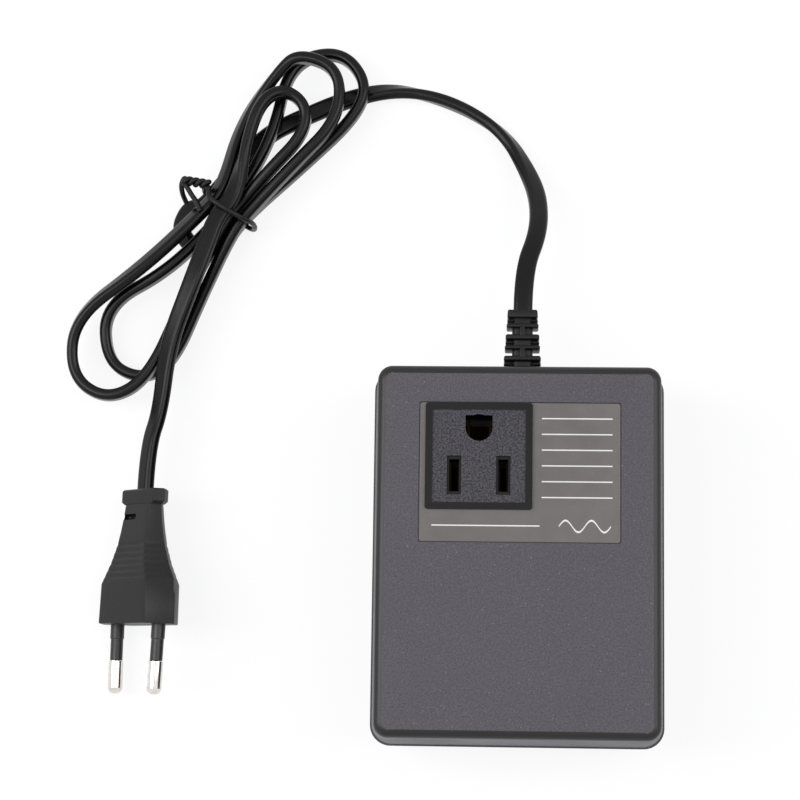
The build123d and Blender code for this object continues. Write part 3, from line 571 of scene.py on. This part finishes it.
# %% Slotted boot
relief_box = [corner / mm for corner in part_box("strain_relief")]
case_end = 50.15
boot_length = 16.55
boot_x, boot_z = 5.2, 4.3
tip_share = 0.765
blocks = [(14.3, 12.75, 11.55, boot_length), (8.3, 6.75, 5.6, 9.75), (2.45, 0.9, 0.0, 3.85)]
block_corner = 0.5
overlap = 0.5
floor_half, floor_inset, floor_corner = 0.9, 0.3, 0.2
fin_reach, fin_inset, fin_drop, fin_thickness, fin_corner = 2.1, 0.1, 1.0, 0.35, 0.12
web_half, web_inset, web_corner = 0.85, 0.1, 0.3
core_x, core_z, core_start, core_end, core_corner = 2.8, 2.2, 0.2, boot_length - 0.6, 1.3
neck_x, neck_z, neck_corner = 3.7, 3.2, 0.4
flange_x, flange_z, flange_thickness, flange_corner = 6.0, 5.0, 2.0, 0.3
boot_aside = 0.1
boot = bmesh.new()
for number, (slot_far, slot_near, near, far) in enumerate(blocks):
    rounded_box(boot, (-boot_x, slot_far, -boot_z), (boot_x, far, boot_z), block_corner)
    rounded_box(boot, (-boot_x, near, -boot_z), (boot_x, slot_near, boot_z), block_corner)
    # The slot's floor, and a fin on each side of it
    floor_x = boot_x - floor_inset
    rounded_box(boot, (-floor_x, slot_near - overlap, -floor_half), (floor_x, slot_far + overlap, floor_half),
                floor_corner)
    middle = (slot_far + slot_near) / 2
    for side in (-1, 1):
        fin = sorted((side * (boot_x - fin_reach), side * (boot_x - fin_inset)))
        rounded_box(boot, (fin[0], middle - fin_thickness / 2, fin_drop - boot_z),
                    (fin[1], middle + fin_thickness / 2, boot_z - fin_drop), fin_corner)
    # The web to the block before, nearer the tip
    if number:
        next_near = blocks[number - 1][2]
        web_z = boot_z - web_inset
        rounded_box(boot, (-web_half, far - overlap, -web_z), (web_half, next_near + overlap, web_z),
                    web_corner)
# Drawn in towards the tip
for vertex in boot.verts:
    drawn_in = 1 - (1 - tip_share) * vertex.co.y / boot_length
    vertex.co.x *= drawn_in
    vertex.co.z *= drawn_in
rounded_box(boot, (-core_x, core_start, -core_z), (core_x, core_end, core_z), core_corner, 5)
# Behind the wall of the case
inner = relief_box[0].y - case_end
rounded_box(boot, (-neck_x, inner + overlap, -neck_z), (neck_x, overlap, neck_z), neck_corner)
rounded_box(boot, (-flange_x, inner, -flange_z), (flange_x, inner + flange_thickness, flange_z), flange_corner)
boot_mesh = shape_mesh(boot, Matrix.Translation((relief_tip.x - boot_aside, case_end, relief_tip.z)))
strain_relief = add_piece("slotted_boot", boot_mesh, relief_plastic, "relief_pvc", "strain_relief")
print("boot:", round(boot_length, 2), "mm,", len(boot_mesh.polygons), "faces")

# %% [markdown]
# ## The wire tie
#
# The hank is held by one plastic-coated wire: it goes once round the waist, and its two ends are
# twisted together and left sticking out to the left, where both bend back towards the hank. A
# tube with a round bevel is right for it. The ring's points are measured from the tie, along,
# across and up, and the two twisted ends are helices round one axis, half a turn apart, worked
# out by a loop.

# %% Twisted tie wire
wire_radius = 0.72
ring_places = [(0.4, 7.1, 16.2), (-1.3, 5.4, 17.0), (-1.5, 3.7, 17.5), (-1.4, 1.7, 17.7),
               (-0.7, -2.6, 17.4), (0.1, -5.9, 15.8), (1.1, -7.8, 12.6), (1.2, -8.2, 8.4),
               (0.9, -7.6, 2.6), (0.4, -5.0, 1.0), (0.0, 2.0, 1.0), (0.0, 8.4, 1.0),
               (0.2, 10.6, 2.6), (0.8, 10.4, 8.0), (1.6, 9.4, 12.8)]
twist_start, twist_end = Vector((1.5, 7.8, 15.6)), Vector((-2.0, 14.6, 14.0))
twists, twist_radius, steps_per_twist = 2, 0.8, 8
bent_end = [(-3.1, 14.6, 13.4), (-4.4, 13.5, 12.4), (-5.3, 12.4, 10.5), (-5.8, 11.4, 8.0)]
cut_end = [(-5.7, 5.0, 14.6), (-4.9, 6.5, 14.4), (-4.3, 8.0, 14.2), (-3.8, 9.9, 14.6),
           (-3.2, 11.6, 14.8), (-2.7, 13.2, 14.6)]


def helix(phase):
    """One of the two twisted ends, as places along, across and up."""
    steps = twists * steps_per_twist
    axis = (twist_end - twist_start).normalized()
    side = axis.cross(Vector((0, 0, 1))).normalized()
    rise = side.cross(axis)
    points = []
    for number in range(steps + 1):
        turn = math.tau * number / steps_per_twist + phase
        middle = twist_start.lerp(twist_end, number / steps)
        points.append(middle + (side * math.cos(turn) + rise * math.sin(turn)) * twist_radius)
    return points


wire_places = [Vector(place) for place in cut_end] + helix(math.pi)[::-1]
wire_places += [Vector(place) for place in ring_places] + helix(0) + [Vector(place) for place in bent_end]
tie_curve = nurbs_curve("tie wire", [hank_place(*place) for place in wire_places])
tie_curve.bevel_depth = wire_radius * mm
tie_curve.bevel_resolution = 3
tie_curve.use_fill_caps = True
tie_curve.splines[0].resolution_u = 6
tie_mesh = curve_mesh(tie_curve)
tie_wire = add_piece("twisted_tie", tie_mesh, tie_plastic, "tie_wire", "cord_tie")
print("tie wire:", len(tie_mesh.vertices), "vertices, lowest",
      round(min(v.co.z for v in tie_mesh.vertices) / mm, 2), "mm")

# %% [markdown]
# ## The plug
#
# The slim two-pin plug is moulded on the cord, with a six-sided section all the way: a collar, a
# flared neck with soft grip waves, a shoulder and a straight base. It lies on one of its slanted
# sides, so it is modelled standing on its own axis and then turned as a whole. One ring of six
# corners, rounded by a bevel, is extruded again and again, and each new ring takes the width and
# thickness of the plug at that height. A layer on the vertices keeps each one's place in the
# six-sided pattern, so a ring can be stretched without moving its corners' order.

# %% The plug's own axes and outline
plug_length = 37.1
turn_sin, turn_cos = math.sin(plug_yaw), math.cos(plug_yaw)
plug_axes = Matrix(((turn_cos, 0, -turn_sin), (-turn_sin, 0, -turn_cos), (0, 1, 0))).to_4x4()
plug_place = Matrix.Translation(plug_end) @ plug_axes @ Matrix.Rotation(math.radians(plug_turn), 4, "Z")
# Each ring: how far along, half width, half thickness, and how wide each slanted side is
collar_rings = [(0.0, 8.4, 2.1, 1.5), (0.45, 8.9, 2.6, 1.7), (3.5, 8.9, 2.6, 1.7), (4.2, 8.2, 2.3, 1.9)]
flare = [(4.2, 7.6, 2.5, 2.3), (8.6, 8.3, 3.0, 2.8), (11.6, 9.0, 3.4, 3.3), (15.3, 10.1, 3.9, 3.9),
         (20.6, 12.5, 4.8, 4.8), (25.4, 15.5, 5.6, 5.6)]
base_rings = [(26.3, 16.0, 5.75, 5.75), (36.8, 16.3, 5.7, 5.7), (plug_length, 16.15, 5.55, 5.55)]
wave_start, wave_pitch, wave_count, wave_depth = 14.6, 1.75, 6, 0.34
rings_per_wave = 7
neck_rings, neck_pitch = 9, 1.2


def between(rings, along):
    """The section at a place along the flare, straight between the two rings on either side."""
    for low, high in zip(rings, rings[1:]):
        if along <= high[0]:
            share = (along - low[0]) / (high[0] - low[0])
            return [a + (b - a) * share for a, b in zip(low[1:], high[1:])]
    return rings[-1][1:]


def grip_wave(along):
    """How deep the grip waves are at a place along the plug."""
    turns = (along - wave_start) / wave_pitch
    return wave_depth * (1 - math.cos(math.tau * turns)) / 2 if 0 < turns < wave_count else 0.0


neck_steps = [flare[0][0] + neck_pitch * number for number in range(neck_rings)]
wave_steps = [wave_start + wave_pitch * number / rings_per_wave
              for number in range(rings_per_wave * wave_count + 1)]
plug_rings = collar_rings + [(along, *between(flare, along)) for along in neck_steps + wave_steps] + base_rings
print("rings along the plug:", len(plug_rings))

# %% One ring of six rounded corners, with the two big sides in short pieces for the waves
ring_corner = 0.035
big_side_cuts = 7
plug = bmesh.new()
first_ring = bmesh.ops.create_circle(plug, cap_ends=True, segments=6, radius=1.0)["verts"]
bmesh.ops.bevel(plug, geom=first_ring, offset=ring_corner, offset_type="OFFSET", segments=3, profile=0.5,
                affect="VERTICES", material=-1)
bmesh.ops.delete(plug, geom=list(plug.faces), context="FACES_ONLY")
# The big sides are the two long edges along which x stays the same
big_sides = [edge for edge in plug.edges
             if abs(edge.verts[0].co.x - edge.verts[1].co.x) < 0.01 and edge.calc_length() > 0.5]
bmesh.ops.subdivide_edges(plug, edges=big_sides, cuts=big_side_cuts)
pattern = plug.verts.layers.float_vector.new("pattern")
plug.verts.ensure_lookup_table()
for vertex in plug.verts:
    vertex[pattern] = vertex.co
print("corners in a ring:", len(plug.verts))

# %% Plug body, ring after ring
hexagon_side = math.cos(math.radians(30))
shoulder_start, shoulder_end, side_lag = 25, 27, 3.0
flat_share, edge_wave_share = 0.36, 0.3


def set_ring(vertices, along, half_width, half_thickness, slant):
    """Gives a ring its size and place: at the shoulder the slanted sides widen later than the big ones."""
    for vertex in vertices:
        across, up = vertex[pattern].y, vertex[pattern].x / hexagon_side
        outward = max(abs(across) - 0.5, 0.0) * 2
        width = min(abs(across), 0.5) * 2 * (half_width - slant) + outward * slant
        lag = side_lag * outward if shoulder_start < along < shoulder_end else 0.0
        wave = grip_wave(along) * (1.0 if abs(across) < flat_share else edge_wave_share * (1 - outward))
        vertex.co = (math.copysign(width, across), up * (half_thickness - wave), along + lag)


ring = list(plug.verts)
edges = list(plug.edges)
set_ring(ring, *plug_rings[0])
bmesh.ops.contextual_create(plug, geom=edges)
for section in plug_rings[1:]:
    made = bmesh.ops.extrude_edge_only(plug, edges=edges)["geom"]
    ring = [item for item in made if isinstance(item, bmesh.types.BMVert)]
    edges = [item for item in made
             if isinstance(item, bmesh.types.BMEdge) and all(corner in ring for corner in item.verts)]
    set_ring(ring, *section)
bmesh.ops.contextual_create(plug, geom=edges)
plug_mesh = shape_mesh(plug, plug_place)
plug_body = add_piece("slim_plug", plug_mesh, plug_plastic, "plug_pvc", "plug_body", crease=28)
print("plug:", len(plug_mesh.polygons), "faces")

# %% [markdown]
# ## The slot in the plug's neck
#
# A short slot with a round end is cut into each of the neck's two big faces, open at the side,
# where the mould held the flex. A Boolean modifier cuts it cleanly, and is applied at once, so the
# finished mesh carries no live modifier.

# %% Slot cut into both big faces
slot_along, slot_half, slot_corner = 7.7, 0.8, 0.7
slot_outer, slot_inner = -6.2, 0.2
slot_floor, slot_mouth = 0.3, 4.5
cutter = bmesh.new()
for face in (-1, 1):
    depths = sorted((face * slot_floor, face * slot_mouth))
    rounded_box(cutter, (slot_outer, depths[0], slot_along - slot_half),
                (slot_inner, depths[1], slot_along + slot_half), slot_corner, 4)
cutter_mesh = shape_mesh(cutter, plug_place)
cutter_object = bpy.data.objects.new("slot cutter", cutter_mesh)
bpy.context.scene.collection.objects.link(cutter_object)
cut = plug_body.modifiers.new("slot", "BOOLEAN")
cut.operation = "DIFFERENCE"
cut.solver = "EXACT"
cut.object = cutter_object
bpy.context.view_layer.update()
slotted = bpy.data.meshes.new_from_object(plug_body.evaluated_get(bpy.context.evaluated_depsgraph_get()))
plug_body.modifiers.clear()
plug_body.data = slotted
bpy.data.objects.remove(cutter_object)
print("plug with its slots:", len(plug_body.data.polygons), "faces")

# %% [markdown]
# ## Pins and their sleeves
#
# Each pin is turned from brass and plated with bright nickel: a thin shank, then a 4 mm tip with
# a domed end. The sleeve on its root is moulded, with a small step. All are round, so a profile of
# a few vertices is spun round the pin's axis. The two pins toe in a little.

# %% Spun pins and sleeves
pin_spacing = 19.0
pin_toe = math.radians(1.6)
pin_root, pin_length, pin_radius = 9.0, 19.0, 2.0
shank_radius, tip_start, tip_chamfer = 1.5, 9.9, 0.15
dome_radius, dome_steps = 1.7, 6
round_sides, merge_distance = 40, 0.0005


def spun(profile, place):
    """Spins a profile of radius and height in mm once round the Z axis."""
    shape = bmesh.new()
    points = [shape.verts.new((radius, 0.0, height)) for radius, height in profile]
    lines = [shape.edges.new(pair) for pair in zip(points, points[1:])]
    bmesh.ops.spin(shape, geom=points + lines, cent=(0, 0, 0), axis=(0, 0, 1), dvec=(0, 0, 0), angle=math.tau,
                   steps=round_sides, use_merge=True, use_duplicate=False)
    bmesh.ops.remove_doubles(shape, verts=shape.verts, dist=merge_distance)
    return shape_mesh(shape, place)


def joined(meshes):
    """Several meshes made one."""
    whole = bmesh.new()
    for mesh in meshes:
        whole.from_mesh(mesh)
        bpy.data.meshes.remove(mesh)
    mesh = bpy.data.meshes.new("joined")
    whole.to_mesh(mesh)
    whole.free()
    return mesh


dome_turns = [math.radians(90 * number / dome_steps) for number in range(dome_steps + 1)]
dome = [(pin_radius - dome_radius + dome_radius * math.cos(turn),
         pin_length - dome_radius + dome_radius * math.sin(turn)) for turn in dome_turns]
pin_profile = [(0.0, -pin_root), (shank_radius, -pin_root), (shank_radius, tip_start),
               (pin_radius - tip_chamfer, tip_start), (pin_radius, tip_start + tip_chamfer)]
pin_profile += dome + [(0.0, pin_length)]
# The sleeve: a collar in the plug's base, a small step, and a thinner length that ends at the tip
sleeve_profile = [(1.55, -2.0), (1.9, -2.0), (1.9, 3.85), (1.78, 4.0), (1.72, 4.05), (1.72, 9.75),
                  (1.55, tip_start)]
pins, sleeves = [], []
for side in (-1, 1):
    pin_place = plug_place @ Matrix.Translation((side * pin_spacing / 2, 0, plug_length))
    pin_place = pin_place @ Matrix.Rotation(-side * pin_toe, 4, "Y")
    pins.append(spun(pin_profile, pin_place))
    sleeves.append(spun(sleeve_profile + sleeve_profile[:1], pin_place))
print("pins:", len(pins), "and sleeves:", len(sleeves))

# %% [markdown]
# ### Bright nickel and other metals
#
# Nickel plate on turned brass is almost a mirror, a little warm, with a faint unevenness from the
# turning below it. The same recipe, with other tones and roughness, gives the brass of the
# contacts, painted almost black as painted shade, since they look black down in their slots, and
# the dull zinc of the screws. A metal's colour is its reflection, so a clean one's base colour is
# pale and its roughness tells the finish.

# %% Metals
dullest_share, brightest_share = 1.3, 0.7


def metal(name, dark, light, roughness, grain, depth):
    """dark and light are the grain's tones, grain is its size in mm and depth its height in mm."""
    material, tree, surface, place = blank_material(name, {"Metallic": 1.0})
    grains = lumps(tree, place, grain)
    gloss = add_node(tree, "ShaderNodeMapRange",
                     {"To Min": roughness * brightest_share, "To Max": roughness * dullest_share},
                     {"Value": grains}).outputs["Result"]
    finish(tree, surface, two_tones(tree, grains, dark, light), gloss, grains, depth)
    return material


nickel = metal("bright nickel plate", "#d6d2cc", "#e6e3de", 0.1, 1.5, 0.004)
# The contacts' brass is painted almost black, as painted shade down in their slots.
shade_blackened_brass = metal("brass blackened as painted shade", "#231b12", "#302517", 0.65, 0.8, 0.006)
zinc = metal("zinc-plated steel", "#8f9194", "#b6b8bb", 0.38, 0.5, 0.006)
print("metals:", [alloy.name for alloy in (nickel, shade_blackened_brass, zinc)])

# %% Pins and sleeves in their finishes
sleeve_plastic = moulded_plastic("moulded sleeve nylon", "#252527", "#2d2d30", 0.38, 0.5, 0.01, 1.44)
round_crease = 35
plug_pins = add_piece("plated_pins", joined(pins), nickel, "pin_nickel", "plug_pins", crease=round_crease)
pin_sleeves = add_piece("root_sleeves", joined(sleeves), sleeve_plastic, "pin_sleeve_plastic", "pin_sleeves",
                        crease=round_crease)
print("pins and sleeves:", len(plug_pins.data.polygons), "and", len(pin_sleeves.data.polygons), "faces")

# %% [markdown]
# ## The rating plate
#
# A thin printed film lies in a shallow recess round the outlet. Its gloss and its grey-brown tint
# set it off from the textured case. The film carries no words here: only plain rules, as on an
# empty form, and a short sine wave, printed in white. The print is a hair thick, so it is made of
# real strips, and the wave is one strip whose vertices follow a sine.

# %% Glossy printed film
ripple_size, ripple_depth = 9, 0.03
smear_size, smear_low, smear_high = 2.5, -0.04, 0.08


def film(name, dark, light, roughness):
    """A film that lies a little wavy, with a clear coat and faint smears."""
    clear_coat = {"IOR": 1.5, "Coat Weight": 0.4, "Coat Roughness": 0.08}
    material, tree, surface, place = blank_material(name, clear_coat)
    ripple = lumps(tree, place, ripple_size)
    gloss = add_node(tree, "ShaderNodeMapRange",
                     {"To Min": roughness + smear_low, "To Max": roughness + smear_high},
                     {"Value": lumps(tree, place, smear_size)}).outputs["Result"]
    finish(tree, surface, two_tones(tree, ripple, dark, light, low=0.3, high=0.7), gloss, ripple, ripple_depth)
    return material


plate_film = film("gloss polyester film", "#625c5b", "#6c6665", 0.24)
print_ink = film("white screen print", "#ececec", "#fafafa", 0.4)
print("plate:", plate_film.name, "and", print_ink.name)

# %% Rules and a wave in white print
plate_box = [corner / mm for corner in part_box("label_plate")]
print_thickness = 0.02
rule_width = 0.32
field_gap, field_margin = 2.4, 2.0
short_rules = (outlet_box[1].x + field_gap, plate_box[1].x - field_margin)
rule_count, rule_pitch, top_margin = 6, 4.1, 4.0
rule_rows = [plate_box[1].y - top_margin - rule_pitch * number for number in range(rule_count)]
lower_middle = (plate_box[0].y + outlet_box[0].y) / 2
long_rule = (plate_box[0].x + 3.2, plate_box[0].x + 31.0)
wave_field = (plate_box[0].x + 36.0, plate_box[1].x - 2.4)


def strip(shape, x_range, y_middle, width, steps=1, swing=0.0, turns=0.0):
    """Adds a raised strip to a bmesh: straight, or swinging to and fro as a sine."""
    made = bmesh.ops.create_grid(shape, x_segments=steps, y_segments=1, size=0.5)["verts"]
    length = x_range[1] - x_range[0]
    for vertex in made:
        share = vertex.co.x + 0.5
        wave = swing * math.sin(math.tau * turns * share)
        vertex.co = (x_range[0] + share * length, y_middle + vertex.co.y * width + wave, plate_box[1].z)
    faces = list(dict.fromkeys(face for vertex in made for face in vertex.link_faces))
    raised = bmesh.ops.extrude_face_region(shape, geom=faces)["geom"]
    raised_corners = [item for item in raised if isinstance(item, bmesh.types.BMVert)]
    bmesh.ops.translate(shape, vec=(0, 0, print_thickness), verts=raised_corners)


printed = bmesh.new()
for row in rule_rows:
    strip(printed, short_rules, row, rule_width)
strip(printed, long_rule, lower_middle, rule_width)
strip(printed, wave_field, lower_middle, rule_width * 1.5, steps=64, swing=1.5, turns=2)
print_mesh = shape_mesh(printed, Matrix.Identity(4))
add_piece("plate_print", print_mesh, print_ink, "label_film")
print("print:", len(print_mesh.polygons), "faces")

# %% [markdown]
# ## What is inside
#
# The transformer, the contacts and the wires show only when the case is opened, but each gets its
# own finish. Steel laminations are thin varnished plates, and a winding is enamelled wire laid
# turn beside turn, so both are bands: a wave texture along one axis, whose pitch is the plate's
# or the wire's thickness.

# %% Banded materials
# A wave texture of scale 1 has one band in this length
band_unit = math.tau / 20
varnish_size, varnish_swing = 3, 0.08


def banded(name, axis, pitch, dark, light, metallic, roughness, depth):
    """Bands across one axis, pitch mm apart and depth mm high."""
    material, tree, surface, place = blank_material(name, {"Metallic": metallic})
    bands = add_node(tree, "ShaderNodeTexWave", {"bands_direction": axis, "Scale": band_unit / (pitch * mm)},
                     {"Vector": place}).outputs["Fac"]
    gloss = add_node(tree, "ShaderNodeMapRange",
                     {"To Min": roughness - varnish_swing, "To Max": roughness + varnish_swing},
                     {"Value": lumps(tree, place, varnish_size)}).outputs["Result"]
    finish(tree, surface, two_tones(tree, bands, dark, light, low=0.1, high=0.8), gloss, bands, depth)
    return material


laminations = banded("varnished silicon steel plates", "Z", 0.5, "#4a4b4f", "#7d7f85", 0.8, 0.45, 0.05)
fine_wire = banded("enamelled copper wire", "Y", 0.4, "#6d2f12", "#c0673a", 0.7, 0.3, 0.1)
thick_wire = banded("thick enamelled copper wire", "Y", 0.7, "#6a2c10", "#c8703f", 0.7, 0.3, 0.2)
tape = banded("yellow polyester tape", "Y", 5.0, "#b28a12", "#d9b02a", 0.0, 0.25, 0.04)
white_nylon = moulded_plastic("natural nylon", "#c9c4b6", "#d8d4c8", 0.45, 0.6, 0.01, 1.5)
black_nylon = moulded_plastic("black nylon", "#161617", "#1f1f20", 0.45, 0.5, 0.01, 1.5)
phenolic = moulded_plastic("black phenolic", "#141413", "#1e1d1b", 0.3, 0.7, 0.008, 1.5)
brown_pvc = moulded_plastic("brown PVC insulation", "#43200f", "#552a15", 0.35, 0.8, 0.008, 1.5)
blue_pvc = moulded_plastic("blue PVC insulation", "#173f86", "#1f4f9f", 0.35, 0.8, 0.008, 1.5)
shrink = moulded_plastic("heat-shrunk sleeve", "#141416", "#1d1d20", 0.28, 1.0, 0.02, 1.5)
print("materials:", len(bpy.data.materials))

# %% Finish of every node of the frame
finishes = {
    "front_cover": case_plastic, "rear_cover": case_plastic, "outlet_body": outlet_plastic,
    "label_plate": plate_film, "case_screws": zinc, "core_screws": zinc, "outlet_rear_cap": black_nylon,
    "neutral_contact": shade_blackened_brass, "live_contact": shade_blackened_brass, "earth_contact": shade_blackened_brass,
    "core_e_stack": laminations, "core_i_stack": laminations, "coil_bobbin": white_nylon,
    "common_winding": thick_wire, "series_winding": fine_wire, "winding_tape": tape,
    "thermal_cutout": phenolic, "live_core": brown_pvc, "neutral_core": blue_pvc,
    "outlet_live_wire": brown_pvc, "outlet_neutral_wire": blue_pvc, "wire_sleeves": shrink,
    "strain_relief": relief_plastic, "cord_lead": cord_plastic, "cord_hank": cord_plastic,
    "cord_plug_lead": cord_plastic, "cord_tie": tie_plastic, "plug_body": plug_plastic,
    "plug_pins": nickel, "pin_sleeves": sleeve_plastic,
}
for name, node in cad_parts.items():
    node.data.materials.clear()
    node.data.materials.append(finishes[name])
print("nodes finished:", len(finishes))
